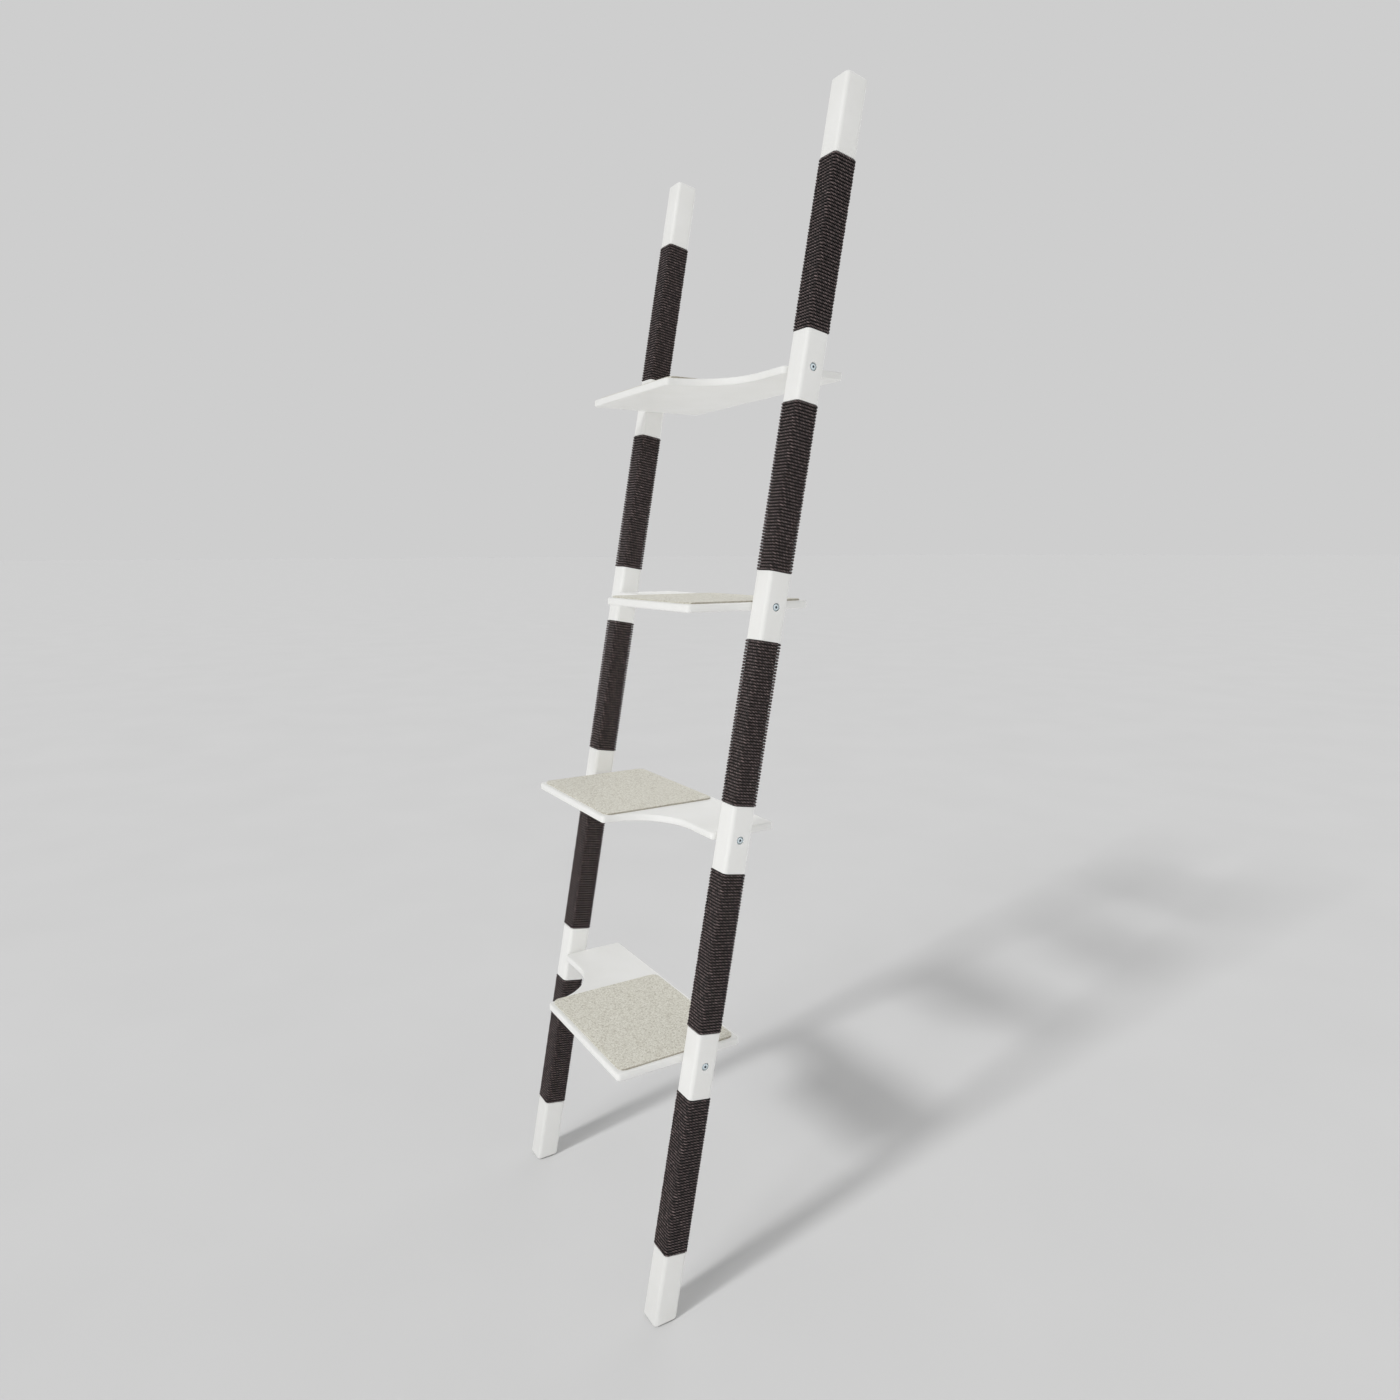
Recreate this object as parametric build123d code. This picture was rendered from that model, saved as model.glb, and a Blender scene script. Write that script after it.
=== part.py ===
from build123d import *
import math
import os

# A ladder for cats that leans on a wall: two square posts with rope wraps to scratch, joined by
# four level boards, each bolted between the posts and carrying a felt mat on its wide end.
# X runs across the ladder, +Y points at the wall and +Z is up. The floor is z = 0, and the
# origin is the middle of the whole ladder's footprint.

# Whole ladder
overall_height = 2700.0
overall_width = 760.0
lean_angle = 10.2
board_count = 4

# Posts
rail_section = 58.0
rail_edge_radius = 10.0
rail_end_radius = 5.0
rail_cut_radius = 5.0
shoulder_radius = 1.0
end_length = 164.5
band_length = 150.0
cut_overrun = 40.0

# Rope wraps
rope_diameter = 6.8
rope_bend_radius = 6.0
rope_proud = 1.5
rope_seat_gap = 0.2
rope_end_gap = 0.5
rope_self_gap = 0.5
most_loops = 24
gap_samples = 12

# Outline of half a rope pair, as shares of the rope's radius: outwards from its middle, then along
# the post from the middle of the turn. The pair's inner side is flat where it lies on the post.
crown_shares = ((-1.0, 0.5), (0.0, 1.0), (1.0, 0.5), (1.0, -0.5))
valley_share = 0.1

# Boards, seen from above. Their reach is measured from the bolts' line through the posts.
board_thickness = 18.0
board_front = 187.0
board_back = 129.0
narrow_front = 37.0
narrow_length = 97.0
corner_radius = 10.0
board_edge_radius = 4.0

# Mats
mat_thickness = 4.0
mat_margin = 10.0
mat_end_margin = 8.0
mat_corner_radius = 18.0
mat_edge_radius = 1.5

# Bolts, washers, threaded inserts and dowels at each end of a board
bolt_diameter = 8.0
bolt_length = 70.0
bolt_hole_diameter = 8.6
head_diameter = 14.0
head_height = 4.4
head_dome = 1.6
socket_across_flats = 5.0
socket_depth = 2.6
washer_diameter = 16.0
washer_bore = 8.4
washer_thickness = 1.6
recess_diameter = 18.0
recess_depth = 7.0
insert_diameter = 12.0
insert_length = 20.0
insert_depth = 0.5
insert_ridge = 0.7
insert_ridge_count = 5
insert_hole_spare = 3.0
thread_clearance = 0.05
insert_clearance = 0.05
dowel_diameter = 8.0
dowel_length = 38.0
dowel_spacing = 36.0
dowel_hole_depth = 20.0
dowel_clearance = 0.05
dowel_chamfer = 0.8

# Rubber pads under the posts
pad_thickness = 2.0
pad_margin = 3.0
pad_corner_radius = 4.0

# Sizes worked out from those above
lean = math.radians(lean_angle)
wrap_count = board_count + 1
outer_x = overall_width / 2 - rope_proud
rail_x = outer_x - rail_section / 2
inner_x = outer_x - rail_section
end_rise = rail_end_radius + (rail_section / 2 - rail_end_radius) * math.sin(lean)
rail_length = (overall_height - end_rise) / math.cos(lean) + rail_end_radius
wrap_length = (rail_length - 2 * end_length - board_count * band_length) / wrap_count
module = wrap_length + band_length
board_length = 2 * inner_x
notch_radius = board_front - narrow_front
wide_length = board_length - narrow_length - notch_radius
core_section = rail_section + 2 * (rope_proud - rope_diameter - rope_seat_gap)
core_radius = rope_bend_radius - rope_diameter / 2 - rope_seat_gap
pair_room = 2 * (rope_diameter + rope_self_gap)
loop_count = min(most_loops, round((wrap_length - 2 * rope_end_gap - rope_diameter) / pair_room))
loop_climb = (wrap_length - 2 * rope_end_gap - rope_diameter) / (loop_count - 1 / 2)
turn_spacing = loop_climb / 2
loop_width = turn_spacing + rope_diameter
run_reach = (rail_section - rope_diameter) / 2 + rope_proud
run_length = 2 * (run_reach - rope_bend_radius)
footprint_depth = rail_section / math.cos(lean)


def bolt_along(number):
    """Distance of a board's bolts from the floor, along the post's centreline."""
    return end_length + wrap_length + band_length / 2 + number * module


# The highest board's back edge and the cut tops of the posts share the wall's plane, and the
# lowest board reaches furthest forward. The footprint's middle lies half way between them.
wall_reach = bolt_along(board_count - 1) * math.sin(lean) + board_back
front_reach = bolt_along(0) * math.sin(lean) - board_front
foot_y = -(wall_reach + front_reach) / 2
wall_y = foot_y + wall_reach


def bolt_place(number):
    """Y and Z of the bolts of one board."""
    along = bolt_along(number)
    return foot_y + along * math.sin(lean), along * math.cos(lean)


def wide_side(number):
    """1 where the board's wide end is at the right post, -1 where it is at the left one."""
    return 1 if number % 2 == 0 else -1


def lean_back(shape, side):
    """Take a shape from a post's own frame, Z along the post, to its place in the ladder."""
    return Pos(side * rail_x, foot_y, 0) * Rot(-lean_angle, 0, 0) * shape


def prism(section, corner, low, high):
    """A square bar with rounded long edges, standing on the post's centreline."""
    bar = extrude(RectangleRounded(section, section, corner), high - low)
    return Pos(0, 0, low) * bar


def painted_block(low, high, low_radius, high_radius):
    """A full-size stretch of the post, its ends softened where they are seen."""
    block = prism(rail_section, rail_edge_radius, low, high)
    for end, radius in ((0, low_radius), (-1, high_radius)):
        if radius:
            block = fillet(block.faces().sort_by(Axis.Z)[end].edges(), radius)
    return block


def bolt_rod(side, number, diameter, start, length):
    """A bar along X on a bolt's line, from a distance start off the ladder's middle, outwards."""
    y, z = bolt_place(number)
    bar = Cylinder(diameter / 2, length, rotation=(0, 90, 0))
    return Pos(side * (start + length / 2), y, z) * bar


def dowel_rods(side, number, diameter, middle, length):
    """Two bars along X, either side of a bolt in the thickness of the board."""
    y, z = bolt_place(number)
    bar = Cylinder(diameter / 2, length, rotation=(0, 90, 0))
    return [Pos(side * middle, y + way * dowel_spacing / 2, z) * bar for way in (-1, 1)]


def rail(side):
    """One post: a milled core under the rope, full-size bands between, ends cut to the floor and wall."""
    post = prism(core_section, core_radius, 0, rail_length - end_length / 2)
    post += painted_block(-cut_overrun, end_length, 0, shoulder_radius)
    for number in range(board_count):
        low = end_length + wrap_length + number * module
        post += painted_block(low, low + band_length, shoulder_radius, shoulder_radius)
    post += painted_block(rail_length - end_length, rail_length, shoulder_radius, rail_end_radius)
    post = lean_back(post, side)
    room = 2 * rail_section
    below = Box(room, room, room, align=(Align.CENTER, Align.CENTER, Align.MAX))
    post -= Pos(side * rail_x, foot_y, pad_thickness) * below
    behind = Box(room, room, end_length, align=(Align.CENTER, Align.MIN, Align.CENTER))
    post -= Pos(side * rail_x, wall_y, overall_height) * behind
    post = fillet(post.faces().sort_by(Axis.Z)[0].edges(), rail_cut_radius)
    for number in range(board_count):
        through = rail_section + 2 * cut_overrun
        post -= bolt_rod(side, number, bolt_hole_diameter, inner_x - cut_overrun, through)
        post -= bolt_rod(side, number, recess_diameter, outer_x - recess_depth, recess_depth + cut_overrun)
        hole = dowel_diameter + 2 * dowel_clearance
        for rod in dowel_rods(side, number, hole, inner_x, 2 * dowel_hole_depth):
            post -= rod
    return post


def pair_outline(y, z):
    """Closed outline of two turns side by side, across the rope, in the plane x = 0."""
    radius = rope_diameter / 2
    upper = [(out * radius, turn_spacing / 2 + along * radius) for out, along in crown_shares]
    lower = [(out, -along) for out, along in reversed(upper)]
    valley = [(valley_share * radius, 0)]
    points = [Vector(0, y + out, z + along) for out, along in upper + valley + lower]
    return Wire.make_polygon(points, close=True)


def rope_wrap():
    """One wrap in the post's frame, from z = 0 up: a single unbroken rope whose loops lie square to
    the post on three sides and climb to the next on the back. Each loop is drawn two turns wide."""
    outline = pair_outline(run_reach, rope_end_gap + loop_width / 2)
    skin = [Face(outline)]
    half = run_length / 2
    bends = ((-half, half), (-half, -half), (half, -half), (half, half))
    runs = ((0, -run_length, 0), (run_length, 0, 0), (0, run_length, 0), (-run_length, 0, loop_climb))

    def straight(line, move):
        skin.extend(Shell.extrude(line, move).faces())
        return line.moved(Location(move))

    outline = straight(outline, (-half, 0, 0))
    for number in range(loop_count):
        for (x, y), run in zip(bends, runs):
            pivot = Axis((x, y, 0), (0, 0, 1))
            skin.extend(Shell.revolve(outline, 90, pivot).faces())
            outline = outline.rotate(pivot, 90)
            if run[2] and number == loop_count - 1:
                run = (-half, 0, 0)
            outline = straight(outline, run)
    skin.append(Face(outline))
    return Solid(Shell(skin))


def loop_point(number, share):
    """Middle of the rope pair on one loop, at a share of the way round from the left bend."""
    corners = ((-run_reach, run_reach), (-run_reach, -run_reach), (run_reach, -run_reach),
               (run_reach, run_reach), (-run_reach, run_reach))
    step = min(int(share * 4), 3)
    part = share * 4 - step
    x, y = (corners[step][axis] + part * (corners[step + 1][axis] - corners[step][axis]) for axis in (0, 1))
    climb = loop_climb * part if step == 3 else 0
    return Vector(x, y, number * loop_climb + climb)


def least_rope_gap():
    """Least distance between the top of one loop and the underside of the next, measured on points."""
    shares = [step / (4 * gap_samples) for step in range(4 * gap_samples + 1)]
    rise = Vector(0, 0, loop_width / 2)
    tops = [loop_point(0, share) + rise for share in shares]
    undersides = [loop_point(1, share) - rise for share in shares]
    return min((top - under).length for top in tops for under in undersides)


def board(number):
    """One board: a wide end with a felt mat and a narrow end, joined by a quarter-round cut-out."""
    side = wide_side(number)
    arc_end = wide_length + notch_radius
    sweep_middle = notch_radius * math.cos(math.radians(45))
    front = Polyline((0, board_back), (0, -board_front), (wide_length, -board_front))
    notch = ThreePointArc(
        (wide_length, -board_front),
        (arc_end - sweep_middle, -board_front + sweep_middle),
        (arc_end, -narrow_front),
    )
    narrow_corner = (board_length, -narrow_front)
    rest = Polyline((arc_end, -narrow_front), narrow_corner, (board_length, board_back), (0, board_back))
    plan = make_face([front, notch, rest])
    corners = plan.vertices().filter_by(lambda point: abs(point.X - arc_end) > corner_radius)
    plan = fillet(corners, corner_radius)
    slab = extrude(plan, board_thickness)
    flat = [face.edges() for face in slab.faces().filter_by(Axis.Z)]
    slab = fillet([edge for edges in flat for edge in edges], board_edge_radius)
    slab = Pos(-board_length / 2, 0, -board_thickness / 2) * slab
    if side > 0:
        slab = Rot(0, 180, 0) * slab
    y, z = bolt_place(number)
    slab = Pos(0, y, z) * slab
    for end in (-1, 1):
        bore = insert_diameter + 2 * insert_clearance
        depth = insert_length + insert_hole_spare
        slab -= bolt_rod(end, number, bore, inner_x - depth, depth + cut_overrun)
        hole = dowel_diameter + 2 * dowel_clearance
        for rod in dowel_rods(end, number, hole, inner_x, 2 * dowel_hole_depth):
            slab -= rod
    return slab


def mat(number):
    """Felt mat on the wide end of a board, its top edge softened."""
    side = wide_side(number)
    length = wide_length - mat_end_margin
    depth = board_front + board_back - 2 * mat_margin
    sheet = extrude(RectangleRounded(length, depth, mat_corner_radius), mat_thickness)
    top = sheet.faces().sort_by(Axis.Z)[-1]
    sheet = fillet(top.edges(), mat_edge_radius)
    y, z = bolt_place(number)
    middle_x = side * (inner_x - mat_end_margin - length / 2)
    return Pos(middle_x, y + (board_back - board_front) / 2, z + board_thickness / 2) * sheet


def bolt(side, number):
    """Button-head bolt, from inside its recess in the post to the insert in the board's end."""
    underside = outer_x - recess_depth + washer_thickness
    shank = bolt_rod(side, number, bolt_diameter, underside - bolt_length, bolt_length)
    head = Cylinder(head_diameter / 2, head_height, align=(Align.CENTER, Align.CENTER, Align.MIN))
    head = fillet(head.edges().sort_by(Axis.Z)[-1], head_dome)
    socket = extrude(RegularPolygon(socket_across_flats / 2, 6, major_radius=False), socket_depth)
    head -= Pos(0, 0, head_height - socket_depth) * socket
    y, z = bolt_place(number)
    head = Pos(side * underside, y, z) * Rot(0, side * 90, 0) * head
    return shank + head


def washer(side, number):
    """Flat washer between a bolt's head and the floor of its recess."""
    start = outer_x - recess_depth
    ring = bolt_rod(side, number, washer_diameter, start, washer_thickness)
    through = washer_thickness + 2 * cut_overrun
    return ring - bolt_rod(side, number, washer_bore, start - cut_overrun, through)


def insert(side, number):
    """Threaded insert in the end of a board, with ridges that grip the wood."""
    start = inner_x - insert_depth - insert_length
    sleeve = bolt_rod(side, number, insert_diameter - 2 * insert_ridge, start, insert_length)
    pitch = insert_length / insert_ridge_count
    for step in range(insert_ridge_count):
        sleeve += bolt_rod(side, number, insert_diameter, start + step * pitch, pitch / 2)
    bore = bolt_diameter + 2 * thread_clearance
    return sleeve - bolt_rod(side, number, bore, start - cut_overrun, insert_length + 2 * cut_overrun)


def dowels(side, number):
    """Two wooden dowels between a board's end and the post, which keep the board from turning."""
    pins = dowel_rods(side, number, dowel_diameter, inner_x, dowel_length)
    return [chamfer(pin.edges().filter_by(GeomType.CIRCLE), dowel_chamfer) for pin in pins]


def foot_pad(side):
    """Rubber pad under a post, set in from the flat that the rounded foot leaves."""
    inset = 2 * (rail_cut_radius + pad_margin)
    plan = RectangleRounded(rail_section - inset, footprint_depth - inset, pad_corner_radius)
    return Pos(side * rail_x, foot_y, 0) * extrude(plan, pad_thickness)


def both_ends(make, number):
    """The same fastener at both ends of a board, as separate solids."""
    return [make(-1, number), make(1, number)]


def save(name, solids):
    """Write one sub-part, as one solid or as a group of separate ones."""
    shape = solids[0] if len(solids) == 1 else Compound(children=solids)
    export_step(shape, os.path.join("parts", name + ".step"))


os.makedirs("parts", exist_ok=True)
wrap = rope_wrap()
for side, word in ((-1, "left"), (1, "right")):
    save("rail_" + word, [rail(side)])
    save("foot_pad_" + word, [foot_pad(side)])
    for number in range(wrap_count):
        placed = lean_back(Pos(0, 0, end_length + number * module) * wrap, side)
        save("rope_" + word + "_" + str(number + 1), [placed])
for number in range(board_count):
    label = "_" + str(number + 1)
    save("board" + label, [board(number)])
    save("mat" + label, [mat(number)])
    save("bolts" + label, both_ends(bolt, number))
    save("washers" + label, both_ends(washer, number))
    save("inserts" + label, both_ends(insert, number))
    save("dowels" + label, dowels(-1, number) + dowels(1, number))

print("rope loops", loop_count, "climb", round(loop_climb, 3), "turn spacing", round(turn_spacing, 3))
print("least gap of the rope to itself", round(least_rope_gap(), 3))
print("post length", round(rail_length, 2), "wraps", round(wrap_length, 2), "wall plane y", round(wall_y, 2))
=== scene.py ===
import math
import random

import bmesh
import bpy
import numpy as np
from mathutils import Matrix, Vector, noise


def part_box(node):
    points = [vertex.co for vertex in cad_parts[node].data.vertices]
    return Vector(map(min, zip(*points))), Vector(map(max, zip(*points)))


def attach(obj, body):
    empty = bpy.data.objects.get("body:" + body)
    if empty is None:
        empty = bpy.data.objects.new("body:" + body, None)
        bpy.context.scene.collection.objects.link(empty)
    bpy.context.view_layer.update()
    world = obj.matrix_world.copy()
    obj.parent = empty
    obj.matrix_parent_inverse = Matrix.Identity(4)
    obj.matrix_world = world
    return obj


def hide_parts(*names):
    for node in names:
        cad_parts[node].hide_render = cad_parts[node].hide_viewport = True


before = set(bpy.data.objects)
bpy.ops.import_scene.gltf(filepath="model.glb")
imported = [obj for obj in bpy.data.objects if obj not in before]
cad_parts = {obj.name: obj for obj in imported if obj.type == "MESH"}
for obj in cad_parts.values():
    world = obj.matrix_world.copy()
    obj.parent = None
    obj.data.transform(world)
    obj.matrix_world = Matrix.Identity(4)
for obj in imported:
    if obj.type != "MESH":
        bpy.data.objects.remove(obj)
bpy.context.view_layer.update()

# Sizes in metres. The ladder's own are read from model.glb's parts where they give them.
LEAN = math.radians(10.2)
HEIGHT = 2.700
BOARDS = 4
WRAPS = BOARDS + 1
PLAIN_END = 0.1645
BAND_LENGTH = 0.150
EDGE_RADIUS = 0.010
END_RADIUS = 0.005
SHOULDER_RADIUS = 0.001
FOOT_RADIUS = 0.005
CORE_HALF = 0.0235
CORE_RADIUS = 0.0012
CORE_MARGIN = 0.001
CUT_OVERRUN = 0.040
CUT_STEPS = 6
RECESS_RADIUS = 0.009
RECESS_DEPTH = 0.007
RECESS_CHAMFER = 0.0006

ROPE_DIAMETER = 0.00665
ROPE_TURNS = 53
ROPE_END_GAP = 0.0005
ROPE_BEND = 0.0047
ROPE_SQUEEZE = 0.91
ROPE_PROUD = 0.0015
ROPE_LAY = 0.024
ROPE_STEP = 0.0026
STRANDS = 3
STRAND_SHARES = (1.0, 0.90, 0.64, 0.90)
# Slow waves in the rope's line: the height of each and its length over 2 pi.
ROPE_LIFTS = ((0.00006, 0.031), (0.00005, 0.0117))
ROPE_BULGES = ((0.00008, 0.043), (0.00006, 0.0161))

BOARD_FRONT = 0.187
BOARD_THICKNESS = 0.018
NOTCH_RADIUS = 0.150
WIDE_LENGTH = 0.394
BOARD_CORNER = 0.010
BOARD_EDGE = 0.004
BOARD_EDGE_STEPS = 5
BOARD_CORNER_STEPS = 8
NOTCH_STEPS = 40

MAT_CORNER = 0.018
MAT_CORNER_STEPS = 10
MAT_EDGE = 0.0015
MAT_EDGE_STEPS = 4
MAT_STEP = 0.006
MAT_WOBBLE = 0.0003
MAT_WOBBLE_SCALE = 90
MAT_DIP = 0.00018
MAT_DIP_SCALE = 140
MAT_DIP_SEED = 7
# Rings on a mat's top: first by their distance from its edge, then as shares of the last of those.
MAT_RIM_INSETS = (0.003, 0.006, 0.010, 0.015, 0.0175)
MAT_INNER_SHARES = (0.93, 0.86, 0.79, 0.72, 0.65, 0.58, 0.51, 0.44, 0.37, 0.30, 0.23, 0.16, 0.09, 0.03)

HEAD_RADIUS = 0.007
HEAD_HEIGHT = 0.0044
HEAD_ROUND = 0.00224
HEAD_STEPS = 6
HEAD_EASE = 0.0002
SOCKET_FLATS = 0.005
SOCKET_DEPTH = 0.0026
SOCKET_EASE = 0.0003
SOCKET_TIP = 0.0006
SOCKET_SHARE = 1.12
SHANK_RADIUS = 0.004
SHANK_CHAMFER = 0.0008
BOLT_LENGTH = 0.070
WASHER_RADIUS = 0.008
WASHER_BORE = 0.0042
WASHER_THICKNESS = 0.0016
WASHER_EASE = 0.0002
ROUND_STEPS = 48

# Points nearer than this are one.
SAME_PLACE = 1e-7
# Edges stay sharp where their faces meet at more than these angles.
SHARP_POST = math.radians(38)
SHARP_BOARD = math.radians(30)
SHARP_MAT = math.radians(50)
SHARP_METAL = math.radians(40)
# A face looks sideways where its normal's Z is less, and to an end where its normal's X is more.
SIDEWAYS = 0.5
ENDWAYS = 0.7

rail_low, rail_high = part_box("rail_right")
pad_low, pad_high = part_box("foot_pad_right")
SECTION = rail_high.x - rail_low.x
RAIL_X = (rail_high.x + rail_low.x) / 2
OUTER_X = rail_high.x
FOOT_Y = (pad_low.y + pad_high.y) / 2
PAD_TOP = pad_high.z
WALL_Y = rail_high.y
END_RISE = END_RADIUS + (SECTION / 2 - END_RADIUS) * math.sin(LEAN)
RAIL_LENGTH = (HEIGHT - END_RISE) / math.cos(LEAN) + END_RADIUS
WRAP_LENGTH = (RAIL_LENGTH - 2 * PLAIN_END - BOARDS * BAND_LENGTH) / WRAPS
MODULE = WRAP_LENGTH + BAND_LENGTH


def post_place(side):
    """From a post's own frame, Z along the post, to its place in the ladder."""
    return Matrix.Translation((side * RAIL_X, FOOT_Y, 0)) @ Matrix.Rotation(-LEAN, 4, "X")


def bolt_place(number):
    """Y and Z of the bolts of one board."""
    along = PLAIN_END + WRAP_LENGTH + BAND_LENGTH / 2 + number * MODULE
    return FOOT_Y + along * math.sin(LEAN), along * math.cos(LEAN)


def wide_side(number):
    """1 where the board's wide end is at the right post, -1 where it is at the left one."""
    return 1 if number % 2 == 0 else -1


def add_object(name, data):
    """An object of the scene with this mesh, light or camera."""
    made = bpy.data.objects.new(name, data)
    bpy.context.scene.collection.objects.link(made)
    return made


def add_piece(name, mesh, material, replaced, place=None):
    """Make a shown piece that stands for CAD nodes, hides them and takes the given material where its mesh
    has none.
    """
    mesh.name = name
    piece = add_object(name, mesh)
    if place is not None:
        piece.matrix_world = place
    if not mesh.materials:
        mesh.materials.append(material)
    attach(piece, "root")
    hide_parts(*replaced)
    return piece


def mesh_from(vertices, faces, smooth_angle=None):
    """A mesh of points and faces, shaded smooth up to an angle between its faces."""
    mesh = bpy.data.meshes.new("piece")
    mesh.from_pydata([tuple(v) for v in vertices], [], faces)
    mesh.update()
    if smooth_angle is not None:
        mesh.shade_smooth()
        mesh.set_sharp_from_angle(angle=smooth_angle)
    return mesh


def turn_outwards(mesh, merge=False):
    """Turn a closed mesh's faces outwards, with doubled points merged first where asked."""
    shape = bmesh.new()
    shape.from_mesh(mesh)
    if merge:
        bmesh.ops.remove_doubles(shape, verts=shape.verts, dist=SAME_PLACE)
    bmesh.ops.recalc_face_normals(shape, faces=shape.faces)
    shape.to_mesh(mesh)
    shape.free()


def arc(centre, radius, start, end, steps, outward=1):
    """Points with their outward normals along an arc, its angles in degrees."""
    found = []
    for step in range(steps + 1):
        angle = math.radians(start + (end - start) * step / steps)
        direction = Vector((math.cos(angle), math.sin(angle)))
        found.append((Vector(centre) + radius * direction, outward * direction))
    return found


def rounded_rectangle(low, high, radius, steps):
    """Points and normals round a rectangle, counter-clockwise from its lower right corner."""
    found = []
    for number, (x, y) in enumerate(((1, 0), (1, 1), (0, 1), (0, 0))):
        across = high[0] - radius if x else low[0] + radius
        upward = high[1] - radius if y else low[1] + radius
        found += arc((across, upward), radius, 90 * (number - 1), 90 * number, steps)
    return found


def loft(rings, cap=True):
    """Vertices and faces of a tube through rings of as many points each."""
    count = len(rings[0])
    vertices = [point for ring in rings for point in ring]
    faces = []
    for number in range(len(rings) - 1):
        low, high = number * count, (number + 1) * count
        for step in range(count):
            after = (step + 1) % count
            faces.append((low + step, low + after, high + after, high + step))
    if cap:
        last = (len(rings) - 1) * count
        faces.append(tuple(reversed(range(count))))
        faces.append(tuple(range(last, last + count)))
    return vertices, faces


def gather(lofts):
    """The vertices and faces of several tubes as those of one mesh."""
    vertices, faces = [], []
    for more, made in lofts:
        base = len(vertices)
        vertices += more
        faces += [tuple(base + index for index in face) for face in made]
    return vertices, faces


# Posts


def square_ring(z, half, radius, steps=10):
    """A ring round the post at z, with rounded corners."""
    ring = rounded_rectangle((-half, -half), (half, half), radius, steps)
    return [Vector((point.x, point.y, z)) for point, _ in ring]


def rounded_end(z, way, radius, steps=6):
    """Rings over a softened end of a full-size stretch, from its side to its end face."""
    rings = []
    for step in range(steps + 1):
        angle = math.pi / 2 * step / steps
        inset = radius * (1 - math.cos(angle))
        rise = radius * math.sin(angle)
        corner = max(EDGE_RADIUS - inset, SHOULDER_RADIUS)
        rings.append(square_ring(z - way * (radius - rise), SECTION / 2 - inset, corner))
    return rings


def cut_flat(shape, place, point, normal, radius):
    """Cut a post by a plane of the room, close it and round the new edge."""
    inverse = place.inverted()
    local_point = inverse @ Vector(point)
    local_normal = inverse.to_3x3() @ Vector(normal)
    geometry = shape.verts[:] + shape.edges[:] + shape.faces[:]
    cut = bmesh.ops.bisect_plane(shape, geom=geometry, plane_co=local_point, plane_no=local_normal,
                                 dist=SAME_PLACE, clear_outer=True)
    rim = [part for part in cut["geom_cut"] if isinstance(part, bmesh.types.BMEdge)]
    bmesh.ops.contextual_create(shape, geom=rim)
    bmesh.ops.bevel(shape, geom=rim, offset=radius, offset_type="OFFSET", segments=CUT_STEPS, profile=0.5,
                    affect="EDGES", clamp_overlap=True)


def recess_cutter(side):
    """Round recesses in the outer face of a post, flared a little at their rims."""
    profile = ((OUTER_X - RECESS_DEPTH, RECESS_RADIUS), (OUTER_X - RECESS_CHAMFER, RECESS_RADIUS),
               (OUTER_X + RECESS_CHAMFER, RECESS_RADIUS + 2 * RECESS_CHAMFER))
    lofts = []
    for number in range(BOARDS):
        rings = []
        for x, radius in profile:
            circle = arc(bolt_place(number), radius, 0, 360 - 360 / ROUND_STEPS, ROUND_STEPS - 1)
            rings.append([Vector((side * x, point.x, point.y)) for point, _ in circle])
        lofts.append(loft(rings))
    mesh = mesh_from(*gather(lofts))
    turn_outwards(mesh)
    return add_object("cutter", mesh)


def make_post(side, word, paint, core_wood):
    """One painted post with its thinner core, recesses, level foot and upright bevel."""
    place = post_place(side)
    rings = [square_ring(-CUT_OVERRUN, SECTION / 2, EDGE_RADIUS)]
    for number in range(WRAPS):
        low = PLAIN_END + number * MODULE
        high = low + WRAP_LENGTH
        rings += rounded_end(low, 1, SHOULDER_RADIUS)
        rings.append(square_ring(low, CORE_HALF, CORE_RADIUS))
        rings.append(square_ring(high, CORE_HALF, CORE_RADIUS))
        rings += reversed(rounded_end(high, -1, SHOULDER_RADIUS))
    rings += rounded_end(RAIL_LENGTH, 1, END_RADIUS)
    mesh = mesh_from(*loft(rings))
    shape = bmesh.new()
    shape.from_mesh(mesh)
    cut_flat(shape, place, (0, 0, PAD_TOP), (0, 0, -1), FOOT_RADIUS)
    cut_flat(shape, place, (0, WALL_Y, 0), (0, 1, 0), SHOULDER_RADIUS)
    bmesh.ops.recalc_face_normals(shape, faces=shape.faces)
    shape.to_mesh(mesh)
    shape.free()
    cutter = recess_cutter(side)
    body = add_object("post", mesh)
    body.matrix_world = place
    cut = body.modifiers.new("recesses", "BOOLEAN")
    cut.object = cutter
    cut.operation = "DIFFERENCE"
    cut.solver = "EXACT"
    bpy.context.view_layer.update()
    result = bpy.data.meshes.new_from_object(body.evaluated_get(bpy.context.evaluated_depsgraph_get()))
    for part in (body, cutter):
        bpy.data.objects.remove(part)
    result.shade_smooth()
    result.set_sharp_from_angle(angle=SHARP_POST)
    result.materials.clear()
    result.materials.append(paint)
    result.materials.append(core_wood)
    for face in result.polygons:
        middle = face.center
        on_core = max(abs(middle.x), abs(middle.y)) < CORE_HALF + CORE_MARGIN
        wrapped = PLAIN_END < middle.z < RAIL_LENGTH - PLAIN_END
        face.material_index = int(on_core and wrapped and abs(face.normal.z) < SIDEWAYS)
    return add_piece("post_" + word, result, paint, ["rail_" + word], place)


# Rope


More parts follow.
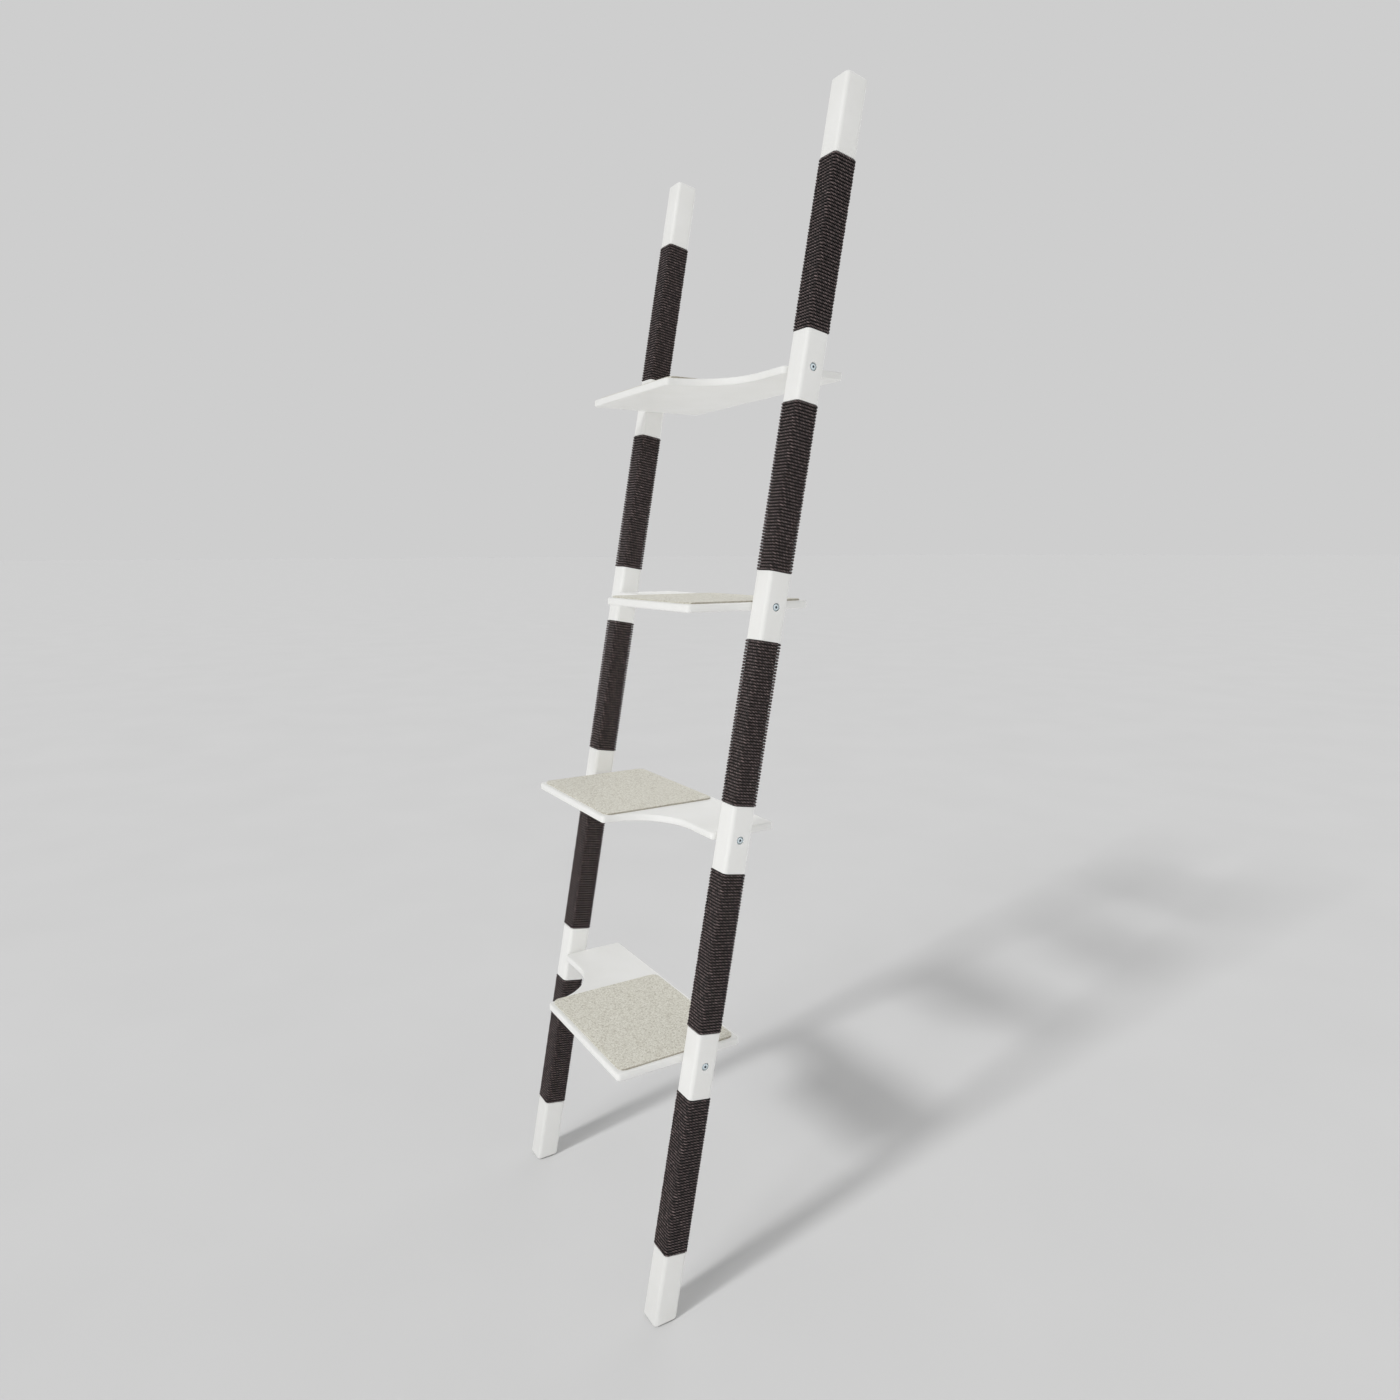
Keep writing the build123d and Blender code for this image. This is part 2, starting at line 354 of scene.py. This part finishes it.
def wrap_line(turns, pitch):
    """Centreline of a wrap and its outward normals: level on three sides, climbing on the back."""
    reach = (SECTION - ROPE_DIAMETER) / 2 + ROPE_PROUD
    half = reach - ROPE_BEND
    run_steps = max(2, round(2 * half / ROPE_STEP))
    bend_steps = max(3, round(math.pi / 2 * ROPE_BEND / ROPE_STEP))
    headings = ((-1, 0), (0, -1), (1, 0), (0, 1))
    outwards = ((0, 1), (-1, 0), (0, -1), (1, 0))
    start = ROPE_END_GAP + ROPE_DIAMETER / 2
    points, normals = [], []

    def add(x, y, level, normal):
        points.append((x, y, start + level * pitch))
        normals.append((*normal, 0.0))

    for turn in range(turns + 1):
        for side in range(4):
            heading, outward = headings[side], outwards[side]
            first = half if turn or side else 0.0
            last = 0.0 if turn == turns else half
            steps = run_steps if first and last else run_steps // 2
            for step in range(steps):
                along = -first + (first + last) * step / steps
                share = (along + half) / (2 * half)
                level = turn
                if side == 0 and turn == turns:
                    level = turns - 1
                elif side == 0 and turn > 0:
                    level = turn - 1 + share * share * (3 - 2 * share)
                x = heading[0] * along + outward[0] * reach
                y = heading[1] * along + outward[1] * reach
                add(x, y, level, outward)
            if turn == turns:
                x = heading[0] * last + outward[0] * reach
                y = heading[1] * last + outward[1] * reach
                add(x, y, turns - 1, outward)
                return np.array(points), np.array(normals)
            corner = (heading[0] * half + outward[0] * half, heading[1] * half + outward[1] * half)
            after = outwards[(side + 1) % 4]
            for step in range(bend_steps):
                angle = math.pi / 2 * step / bend_steps
                nx = outward[0] * math.cos(angle) + after[0] * math.sin(angle)
                ny = outward[1] * math.cos(angle) + after[1] * math.sin(angle)
                add(corner[0] + nx * ROPE_BEND, corner[1] + ny * ROPE_BEND, turn, (nx, ny))


def strand_outline():
    """Angle and radius round a rope of three strands, as shares of its radius at each point."""
    parts = len(STRAND_SHARES)
    count = STRANDS * parts
    return [(2 * math.pi * (number / count), STRAND_SHARES[number % parts]) for number in range(count)]


def waves(along, sizes, phases):
    """A sum of waves along the rope, from the height of each and its length over 2 pi."""
    return sum(height * np.sin(along / length + phase) for (height, length), phase in zip(sizes, phases))


def unit(vectors):
    """Rows of vectors, each of length 1."""
    return vectors / np.linalg.norm(vectors, axis=1)[:, None]


def make_wrap(side, word, number, material, seed):
    """One wrap of three-strand rope, its strands twisted round its line. The attribute straight_rope
    is the rope as if laid out straight, crest is 1 on its outer side and -1 next to the post, and
    strand is 1 on the middle of a strand and less in the grooves between strands."""
    dice = random.Random(seed)
    pitch = (WRAP_LENGTH - 2 * ROPE_END_GAP - ROPE_DIAMETER) / (ROPE_TURNS - 1)
    line, outward = wrap_line(ROPE_TURNS, pitch)
    steps = np.linalg.norm(np.diff(line, axis=0), axis=1)
    along = np.concatenate([[0.0], np.cumsum(steps)])
    phases = [dice.uniform(0, 2 * math.pi) for _ in range(4)]
    line = line + outward * waves(along, ROPE_BULGES, phases[2:])[:, None]
    line[:, 2] += waves(along, ROPE_LIFTS, phases[:2])
    ahead = unit(np.gradient(line, axis=0))
    across = unit(np.cross(ahead, outward))
    inner = np.cross(across, ahead)
    twist = 2 * math.pi * along / ROPE_LAY + dice.uniform(0, 2 * math.pi)
    outline = strand_outline()
    count = len(outline)
    rings, straight, crest, strand = [], [], [], []
    for angle, share in outline:
        radius = ROPE_DIAMETER / 2 * share
        angles = twist + angle
        sideways = ROPE_SQUEEZE * np.sin(angles)[:, None] * across
        rings.append(line + radius * (np.cos(angles)[:, None] * inner + sideways))
        crest.append(np.cos(angles))
        strand.append(np.full_like(along, share))
        straight.append(np.stack([along, np.full_like(along, radius * math.cos(angle)),
                                  np.full_like(along, radius * math.sin(angle))], axis=1))
    vertices = np.stack(rings, axis=1).reshape(-1, 3)
    unrolled = np.stack(straight, axis=1).reshape(-1, 3)
    total = len(line)
    first = np.arange(total - 1)[:, None] * count
    step = np.arange(count)[None, :]
    after = (step + 1) % count
    corners = [first + step, first + after, first + count + after, first + count + step]
    faces = np.stack(corners, axis=2).reshape(-1, 4).tolist()
    faces.append(list(reversed(range(count))))
    faces.append(list(range((total - 1) * count, total * count)))
    mesh = mesh_from(vertices.tolist(), faces)
    mesh.shade_smooth()
    attribute = mesh.attributes.new("straight_rope", "FLOAT_VECTOR", "POINT")
    attribute.data.foreach_set("vector", unrolled.astype(np.float32).ravel())
    for name, values in (("crest", crest), ("strand", strand)):
        attribute = mesh.attributes.new(name, "FLOAT", "POINT")
        attribute.data.foreach_set("value", np.stack(values, axis=1).astype(np.float32).ravel())
    place = post_place(side) @ Matrix.Translation((0, 0, PLAIN_END + number * MODULE))
    label = word + "_" + str(number + 1)
    return add_piece("wrap_" + label, mesh, material, ["rope_" + label], place)


# Boards and mats


def board_outline(length, back):
    """Points and normals round a board, its wide end at u = 0 and its front towards -v."""
    narrow_front = -(BOARD_FRONT - NOTCH_RADIUS)
    centre = (WIDE_LENGTH + NOTCH_RADIUS, -BOARD_FRONT)
    reach = NOTCH_RADIUS + BOARD_CORNER
    ease = math.sqrt(reach ** 2 - BOARD_CORNER ** 2)
    tip = (centre[0] - ease, -BOARD_FRONT + BOARD_CORNER)
    turn = math.degrees(math.asin(BOARD_CORNER / reach))
    r = BOARD_CORNER
    steps = BOARD_CORNER_STEPS
    outline = arc((r, -BOARD_FRONT + r), r, 180, 270, steps)
    outline += arc(tip, r, 270, 360 - turn, steps)
    outline += arc(centre, NOTCH_RADIUS, 180 - turn, 90, NOTCH_STEPS, outward=-1)[1:]
    outline += arc((length - r, narrow_front + r), r, 270, 360, steps)
    outline += arc((length - r, back - r), r, 0, 90, steps)
    outline += arc((r, back - r), r, 90, 180, steps)
    return outline


def make_board(number, material):
    """One board with its edges rounded over."""
    label = str(number + 1)
    low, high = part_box("board_%d" % (number + 1))
    y, z = bolt_place(number)
    length = high.x - low.x
    side = wide_side(number)
    outline = board_outline(length, high.y - y)
    half = BOARD_THICKNESS / 2
    levels = []
    for step in range(BOARD_EDGE_STEPS + 1):
        angle = math.pi / 2 * step / BOARD_EDGE_STEPS
        levels.append((BOARD_EDGE * (1 - math.sin(angle)), -half + BOARD_EDGE * (1 - math.cos(angle))))
    levels += [(inset, -level) for inset, level in reversed(levels)]
    rings = []
    for inset, level in levels:
        ring = []
        for point, normal in outline:
            moved = point - inset * normal
            ring.append(Vector((-side * (moved.x - length / 2), moved.y, level)))
        rings.append(ring if side < 0 else ring[::-1])
    mesh = mesh_from(*loft(rings), SHARP_BOARD)
    place = Matrix.Translation((0, y, z))
    return add_piece("shelf_" + label, mesh, material, ["board_" + label], place)


def felt_dip(spot, number):
    """How far a mat's top lies below its full height at a spot, as a negative length."""
    cloud = noise.noise(Vector((spot.x, spot.y, MAT_DIP_SEED + number)) * MAT_DIP_SCALE)
    return min(MAT_DIP * cloud, 0)


def make_mat(number, material, end_shade_material):
    """A felt mat with a soft top edge, a slightly uneven top and outline, and painted shade on its end
    faces.
    """
    label = str(number + 1)
    low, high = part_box("mat_" + label)
    middle = (low + high) / 2
    size = (high - low) / 2
    outline = rounded_rectangle((-size.x, -size.y), (size.x, size.y), MAT_CORNER, MAT_CORNER_STEPS)
    dense = []
    for (point, normal), (after, after_normal) in zip(outline, outline[1:] + outline[:1]):
        parts = max(1, round((after - point).length / MAT_STEP))
        for part in range(parts):
            share = part / parts
            dense.append((point.lerp(after, share), normal.lerp(after_normal, share).normalized()))
    thickness = high.z - low.z
    levels = [(0.0, 0.0), (0.0, thickness / 2)]
    for step in range(MAT_EDGE_STEPS + 1):
        angle = math.pi / 2 * step / MAT_EDGE_STEPS
        levels.append((MAT_EDGE * (1 - math.cos(angle)), thickness - MAT_EDGE * (1 - math.sin(angle))))
    levels += [(inset, thickness) for inset in MAT_RIM_INSETS]
    rings = []
    for inset, level in levels:
        ring = []
        for point, normal in dense:
            cloud = noise.noise(Vector((point.x, point.y, number)) * MAT_WOBBLE_SCALE)
            flat = point - (inset - MAT_WOBBLE * cloud + MAT_WOBBLE) * normal
            dip = felt_dip(flat, number) if level == thickness else 0
            ring.append(Vector((flat.x, flat.y, level - size.z + dip)))
        rings.append(ring)
    rim = rings[-1]
    for share in MAT_INNER_SHARES:
        ring = []
        for point in rim:
            flat = Vector((point.x * share, point.y * share))
            ring.append(Vector((flat.x, flat.y, thickness - size.z + felt_dip(flat, number))))
        rings.append(ring)
    mesh = mesh_from(*loft(rings), SHARP_MAT)
    place = Matrix.Translation(middle)
    piece = add_piece("felt_" + label, mesh, material, ["mat_" + label], place)
    mesh.materials.append(end_shade_material)
    # Faces that look to an end take the felt with painted shade.
    for face in mesh.polygons:
        face.material_index = int(abs(face.normal.x) > ENDWAYS)
    return piece


# Fasteners


def hexagon(angle):
    """Distance of a hexagonal socket's wall from its middle at an angle."""
    sector = math.radians(60)
    return SOCKET_FLATS / 2 / math.cos((angle + sector / 2) % sector - sector / 2)


def turned(profile, side, place):
    """Rings of a turned piece along X from (distance out, radius) pairs. A radius may follow the angle."""
    rings = []
    for out, radius in profile:
        ring = []
        for step in range(ROUND_STEPS):
            angle = 2 * math.pi * step / ROUND_STEPS
            size = radius(angle) if callable(radius) else radius
            y = place[0] + size * math.cos(angle)
            z = place[1] + size * math.sin(angle)
            ring.append(Vector((side * out, y, z)))
        rings.append(ring if side > 0 else ring[::-1])
    return rings


def make_pair(profile, number, name, material, replaced, closed=False):
    """One piece of two turned ones, at the left and the right end of a board. A closed profile goes
    round to its start."""
    lofts = []
    for side in (-1, 1):
        rings = turned(profile, side, bolt_place(number))
        lofts.append(loft(rings + [rings[0]] if closed else rings, cap=not closed))
    mesh = mesh_from(*gather(lofts))
    turn_outwards(mesh, merge=True)
    mesh.shade_smooth()
    mesh.set_sharp_from_angle(angle=SHARP_METAL)
    return add_piece(name, mesh, material, replaced)


def make_bolts(number, material, socket_shade_material):
    """The two button-head bolts of a board, with painted shade in their hexagonal sockets."""
    label = str(number + 1)
    under = OUTER_X - RECESS_DEPTH + WASHER_THICKNESS
    top = under + HEAD_HEIGHT
    end = under - BOLT_LENGTH
    profile = [(end, SHANK_RADIUS - SHANK_CHAMFER), (end + SHANK_CHAMFER, SHANK_RADIUS),
               (under, SHANK_RADIUS), (under, HEAD_RADIUS - HEAD_EASE), (under + HEAD_EASE, HEAD_RADIUS),
               (top - HEAD_ROUND, HEAD_RADIUS)]
    for step in range(1, HEAD_STEPS + 1):
        angle = math.pi / 2 * step / HEAD_STEPS
        inset = HEAD_ROUND * (1 - math.cos(angle))
        profile.append((top - HEAD_ROUND * (1 - math.sin(angle)), HEAD_RADIUS - inset))
    profile.append((top, lambda angle: hexagon(angle) + SOCKET_EASE))
    profile.append((top - SOCKET_EASE, hexagon))
    profile.append((top - SOCKET_DEPTH, hexagon))
    profile.append((top - SOCKET_DEPTH - SOCKET_TIP, SOCKET_TIP))
    piece = make_pair(profile, number, "screws_" + label, material, ["bolts_" + label])
    piece.data.materials.append(socket_shade_material)
    y, z = bolt_place(number)
    for face in piece.data.polygons:
        off_axis = math.hypot(face.center.y - y, face.center.z - z)
        in_socket = off_axis < SOCKET_FLATS / 2 * SOCKET_SHARE
        face.material_index = int(abs(face.center.x) > under and in_socket)
    return piece


def make_washers(number, material):
    """The two flat washers of a board, their rims softened."""
    label = str(number + 1)
    low = OUTER_X - RECESS_DEPTH
    high = low + WASHER_THICKNESS
    ease = WASHER_EASE
    profile = [(low, WASHER_BORE), (low, WASHER_RADIUS - ease), (low + ease, WASHER_RADIUS),
               (high - ease, WASHER_RADIUS), (high, WASHER_RADIUS - ease), (high, WASHER_BORE + ease),
               (high - ease, WASHER_BORE)]
    return make_pair(profile, number, "rings_" + label, material, ["washers_" + label], closed=True)


# Materials


def srgb(red, green, blue):
    """A colour given as it looks on screen, 0 to 255, as linear light."""
    def linear(value):
        value /= 255
        return value / 12.92 if value <= 0.04045 else ((value + 0.055) / 1.055) ** 2.4
    return (linear(red), linear(green), linear(blue), 1.0)


def grey(level):
    """A grey of linear light, which may be above 1 to brighten what it multiplies."""
    return (level, level, level, 1.0)


class Surface:
    """A material under construction: its node tree, its shader and short ways to add nodes."""

    def __init__(self, name):
        self.material = bpy.data.materials.new(name)
        self.material.use_nodes = True
        self.tree = self.material.node_tree
        self.shader = self.tree.nodes["Principled BSDF"]

    def node(self, kind, settings=None, **inputs):
        """A node with its settings, and its inputs by name, _ for a space."""
        made = self.tree.nodes.new(kind)
        for key, value in (settings or {}).items():
            setattr(made, key, value)
        for key, value in inputs.items():
            self.put(made, key.replace("_", " "), value)
        return made

    def put(self, node, socket, value):
        """Link another node's output to an input, or set it to a constant."""
        found = node.inputs[socket]
        if isinstance(value, bpy.types.NodeSocket):
            self.tree.links.new(value, found)
        else:
            found.default_value = value

    def attribute(self, name, output):
        """A value that the mesh keeps at its points."""
        return self.node("ShaderNodeAttribute", {"attribute_name": name}).outputs[output]

    def coordinates(self, scale=(1, 1, 1), attribute=None):
        """The piece's own coordinates, or a vector attribute, times a scale."""
        if attribute:
            source = self.attribute(attribute, "Vector")
        else:
            source = self.node("ShaderNodeTexCoord").outputs["Object"]
        return self.node("ShaderNodeMapping", Vector=source, Scale=scale).outputs["Vector"]

    def noise(self, vector, scale, detail=4.0, roughness=0.55):
        """Clouds, with their number to a metre."""
        made = self.node("ShaderNodeTexNoise", Vector=vector, Scale=scale, Detail=detail,
                         Roughness=roughness)
        return made.outputs["Fac"]

    def ramp(self, factor, stops):
        """Colours by a factor, from (position, colour) pairs."""
        made = self.node("ShaderNodeValToRGB", Fac=factor)
        elements = made.color_ramp.elements
        while len(elements) < len(stops):
            elements.new(0.5)
        for element, (position, colour) in zip(elements, stops):
            element.position = position
            element.color = colour
        return made.outputs["Color"]

    def mix(self, factor, first, second, blend="MIX"):
        """Two colours mixed by a factor."""
        made = self.node("ShaderNodeMix", {"data_type": "RGBA", "blend_type": blend})
        for index, value in ((0, factor), (6, first), (7, second)):
            if isinstance(value, bpy.types.NodeSocket):
                self.tree.links.new(value, made.inputs[index])
            else:
                made.inputs[index].default_value = value
        return made.outputs[2]

    def times(self, first, second):
        """One colour times another."""
        return self.mix(1.0, first, second, "MULTIPLY")

    def between(self, factor, low, high):
        """A factor from 0 to 1 spread from low to high."""
        made = self.node("ShaderNodeMapRange", Value=factor, To_Min=low, To_Max=high)
        return made.outputs["Result"]

    def bump(self, height, strength, distance, normal=None):
        """Relief, on top of another one where a normal is given."""
        made = self.node("ShaderNodeBump", Height=height, Strength=strength, Distance=distance)
        if normal is not None:
            self.put(made, "Normal", normal)
        return made.outputs["Normal"]

    def set(self, **inputs):
        """Fill the shader's inputs and give the finished material."""
        for key, value in inputs.items():
            self.put(self.shader, key.replace("_", " "), value)
        return self.material


def painted_wood(name, grain):
    """Satin white paint over wood whose grain shows faintly along one axis."""
    s = Surface(name)
    plain = s.coordinates()
    cloud = s.noise(plain, scale=9.0, detail=3.0)
    colour = s.ramp(cloud, ((0.3, srgb(239, 239, 236)), (0.7, srgb(243, 243, 241))))
    fibres = s.noise(s.coordinates(grain), scale=1.0, detail=5.0, roughness=0.6)
    colour = s.mix(s.between(fibres, 0.0, 0.10), colour, srgb(222, 221, 215))
    peel = s.noise(plain, scale=420.0, detail=2.0)
    rough = s.between(s.noise(plain, scale=35.0, detail=3.0), 0.46, 0.58)
    normal = s.bump(fibres, strength=0.10, distance=0.0006)
    normal = s.bump(peel, strength=0.05, distance=0.0003, normal=normal)
    return s.set(Base_Color=colour, Roughness=rough, Normal=normal)


def rope_fibre():
    """Dark twisted sisal: pale fibres along the strands over a near-black body, painted shade between
    turns and strands, and lighter and darker dashes along the rope."""
    s = Surface("dark_sisal_rope")
    fibres = s.noise(s.coordinates((140, 2600, 2600), "straight_rope"), scale=1.0, detail=3.0,
                     roughness=0.6)
    tufts = s.noise(s.coordinates((420, 900, 900), "straight_rope"), scale=1.0, detail=2.0,
                    roughness=0.5)
    colour = s.ramp(fibres, ((0.36, srgb(48, 39, 39)), (0.52, srgb(94, 79, 78)),
                             (0.68, srgb(178, 161, 159))))
    colour = s.mix(s.between(tufts, 0.0, 0.5), colour, srgb(55, 42, 42))
    # Painted shade: the rope darkens from its outer side towards its sides and the post, where turns meet.
    turn_shade = s.ramp(s.attribute("crest", "Fac"), ((0.54, srgb(68, 59, 60)), (0.92, grey(1))))
    colour = s.times(colour, turn_shade)
    # Painted shade in the grooves between strands, with the strands' middles lightened.
    strand_shade = s.ramp(s.attribute("strand", "Fac"), ((0.7, grey(0.12)), (0.95, grey(1.5))))
    colour = s.times(colour, strand_shade)
    dashes = s.noise(s.coordinates((85, 0, 0), "straight_rope"), scale=1.0, detail=1.0,
                     roughness=0.5)
    colour = s.times(colour, s.ramp(dashes, ((0.4, grey(0.45)), (0.6, grey(1.3)))))
    normal = s.bump(fibres, strength=0.6, distance=0.0005)
    return s.set(Base_Color=colour, Roughness=0.9, Sheen_Weight=0.1, Sheen_Roughness=0.5,
                 Normal=normal)


def core_timber():
    """Timber under the rope, coloured dark as painted shade where it shows between the turns."""
    s = Surface("core_painted_shade")
    grain = s.noise(s.coordinates((60, 60, 4)), scale=1.0, detail=4.0)
    colour = s.ramp(grain, ((0.3, srgb(58, 46, 38)), (0.7, srgb(82, 66, 54))))
    normal = s.bump(grain, strength=0.2, distance=0.0004)
    return s.set(Base_Color=colour, Roughness=0.8, Normal=normal)


def felt(name, end_shade_share):
    """Pressed wool felt, greenish beige with flecks, mixed by a share towards brown as painted shade."""
    s = Surface(name)
    plain = s.coordinates()
    fine = s.noise(plain, scale=340.0, detail=3.0, roughness=0.75)
    flecks = s.noise(plain, scale=215.0, detail=3.0, roughness=0.65)
    clouds = s.noise(plain, scale=30.0, detail=3.0, roughness=0.5)
    colour = s.ramp(fine, ((0.36, srgb(190, 185, 169)), (0.5, srgb(220, 218, 205)),
                           (0.62, srgb(238, 236, 227))))
    colour = s.mix(s.ramp(flecks, ((0.53, grey(0)), (0.65, grey(0.58)))), colour, srgb(146, 135, 116))
    colour = s.mix(s.between(clouds, 0.0, 0.15), colour, srgb(226, 223, 210))
    # Painted shade: brown mixed in by the share.
    colour = s.mix(end_shade_share, colour, srgb(112, 98, 78))
    normal = s.bump(fine, strength=0.5, distance=0.0008)
    return s.set(Base_Color=colour, Roughness=0.95, Sheen_Weight=0.15, Sheen_Roughness=0.6,
                 Normal=normal)


def steel(name, colour, low, high):
    """Zinc-plated steel with a cloudy sheen, its roughness between low and high."""
    s = Surface(name)
    plain = s.coordinates()
    cloud = s.noise(plain, scale=260.0, detail=3.0)
    dark = tuple(share * 0.7 for share in colour[:3]) + (1.0,)
    tint = s.mix(s.between(cloud, 0.0, 0.3), colour, dark)
    rough = s.between(s.noise(plain, scale=700.0, detail=2.0), low, high)
    normal = s.bump(cloud, strength=0.05, distance=0.0002)
    return s.set(Base_Color=tint, Metallic=1.0, Roughness=rough, Normal=normal)


def beech():
    """Bare beech of the hidden dowels."""
    s = Surface("bare_beech")
    grain = s.noise(s.coordinates((20, 600, 600)), scale=1.0, detail=4.0)
    colour = s.ramp(grain, ((0.3, srgb(196, 158, 116)), (0.7, srgb(220, 186, 146))))
    normal = s.bump(grain, strength=0.2, distance=0.0003)
    return s.set(Base_Color=colour, Roughness=0.7, Normal=normal)


def rubber():
    """Matt black rubber of the foot pads."""
    s = Surface("black_rubber")
    pores = s.noise(s.coordinates(), scale=900.0, detail=2.0)
    colour = s.ramp(pores, ((0.3, srgb(24, 24, 24)), (0.7, srgb(38, 38, 38))))
    rough = s.between(pores, 0.75, 0.9)
    normal = s.bump(pores, strength=0.2, distance=0.0002)
    return s.set(Base_Color=colour, Roughness=rough, Normal=normal)


def repaint(node, material):
    """Give a carried-over CAD node its material."""
    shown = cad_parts[node]
    shown.data.materials.clear()
    shown.data.materials.append(material)


post_paint = painted_wood("white_paint_post", (260, 260, 9))
board_paint = painted_wood("white_paint_board", (9, 260, 260))
core_wood = core_timber()
rope_material = rope_fibre()
felt_top = felt("speckled_felt", 0.0)
# The mats' end faces get this felt with brown mixed in as painted shade.
felt_end_shade = felt("felt_end_painted_shade", 0.5)
zinc = steel("bright_zinc", srgb(236, 249, 255), 0.28, 0.42)
# Darker steel as painted shade inside the bolts' sockets.
socket_shade_steel = steel("socket_painted_shade", srgb(118, 126, 134), 0.4, 0.55)
dull_zinc = steel("dull_zinc", srgb(178, 174, 164), 0.35, 0.5)
dowel_wood = beech()
pad_rubber = rubber()

for side, word in ((-1, "left"), (1, "right")):
    make_post(side, word, post_paint, core_wood)
    repaint("foot_pad_" + word, pad_rubber)
    for number in range(WRAPS):
        make_wrap(side, word, number, rope_material, 100 + 10 * side + number)
for number in range(BOARDS):
    make_board(number, board_paint)
    make_mat(number, felt_top, felt_end_shade)
    make_bolts(number, zinc, socket_shade_steel)
    make_washers(number, zinc)
    repaint("inserts_" + str(number + 1), dull_zinc)
    repaint("dowels_" + str(number + 1), dowel_wood)


# Floor, light and camera

FLOOR_SIZE = 600.0
BOUNCE_X = 0.5
BOUNCE_Z = 0.02
BOUNCE_WIDTH = 2.0
SENSOR_WIDTH = 36.0
FOCAL_SHARE = 951.1 / 1400
FARTHEST_SEEN = 1000.0
YAW = math.radians(59.04)
PITCH = math.radians(-8.88)
ROLL = math.radians(-0.21)
CAMERA_PLACE = Vector((2.048, -0.906 + FOOT_Y, 1.719))


def make_floor():
    """A wide pale floor."""
    half = FLOOR_SIZE / 2
    corners = [(-half, -half, 0), (half, -half, 0), (half, half, 0), (-half, half, 0)]
    mesh = mesh_from(corners, [(0, 1, 2, 3)])
    s = Surface("pale_floor")
    cloud = s.noise(s.coordinates(), scale=1.5, detail=2.0)
    shade = s.ramp(cloud, ((0.3, srgb(191, 191, 191)), (0.7, srgb(193, 193, 193))))
    s.set(Base_Color=shade, Roughness=1.0, Specular_IOR_Level=0.0)
    mesh.materials.append(s.material)
    floor = add_object("floor", mesh)
    return floor


def make_sun(name, turn, elevation, spread, strength, lit=None):
    """A soft far light, turned from the front towards +X and raised by angles in degrees. Where lit
    is given, it falls on that object alone, and the others still throw their shadows on it."""
    light = bpy.data.lights.new(name, "SUN")
    light.angle = math.radians(spread)
    light.energy = strength
    sun = add_object(name, light)
    turn, elevation = math.radians(turn), math.radians(elevation)
    level = math.cos(elevation)
    to_light = Vector((math.sin(turn) * level, -math.cos(turn) * level, math.sin(elevation)))
    sun.rotation_euler = (-to_light).to_track_quat("-Z", "Y").to_euler()
    if lit is not None:
        only = bpy.data.collections.new(name + "_lit")
        only.objects.link(lit)
        sun.light_linking.receiver_collection = only


def make_bounce(name, y, power):
    """A square panel that lies on the floor, shines straight up and is not seen itself."""
    light = bpy.data.lights.new(name, "AREA")
    light.size = BOUNCE_WIDTH
    light.energy = power
    panel = add_object(name, light)
    panel.location = (BOUNCE_X, y, BOUNCE_Z)
    panel.rotation_euler = (math.pi, 0, 0)
    panel.visible_camera = False


def make_world():
    """An even pale surround."""
    world = bpy.data.worlds.new("studio")
    bpy.context.scene.world = world
    world.use_nodes = True
    background = world.node_tree.nodes["Background"]
    background.inputs["Color"].default_value = srgb(206, 206, 206)
    background.inputs["Strength"].default_value = 1.0


def make_camera():
    """The photograph's view of the ladder."""
    ahead = Vector((-math.sin(YAW) * math.cos(PITCH), math.cos(YAW) * math.cos(PITCH), math.sin(PITCH)))
    level = Vector((math.cos(YAW), math.sin(YAW), 0))
    upright = level.cross(ahead)
    right = level * math.cos(ROLL) + upright * math.sin(ROLL)
    up = upright * math.cos(ROLL) - level * math.sin(ROLL)
    data = bpy.data.cameras.new("camera")
    data.sensor_width = SENSOR_WIDTH
    data.lens = FOCAL_SHARE * SENSOR_WIDTH
    data.clip_end = FARTHEST_SEEN
    camera = add_object("camera", data)
    axes = Matrix((right, up, -ahead)).transposed().to_4x4()
    camera.matrix_world = Matrix.Translation(CAMERA_PLACE) @ axes
    bpy.context.scene.camera = camera


floor = make_floor()
make_world()
make_sun("key", turn=20.0, elevation=33.0, spread=16.0, strength=0.82)
make_sun("side", turn=100.0, elevation=15.0, spread=60.0, strength=0.18)
make_sun("rim", turn=215.0, elevation=14.0, spread=60.0, strength=0.7)
make_sun("floor_key", turn=12.0, elevation=33.0, spread=7.0, strength=2.04, lit=floor)
make_bounce("front_bounce", y=FOOT_Y - 2.2, power=26.0)
make_bounce("back_bounce", y=FOOT_Y + 2.6, power=20.0)
make_camera()
bpy.context.scene.view_settings.view_transform = "Standard"
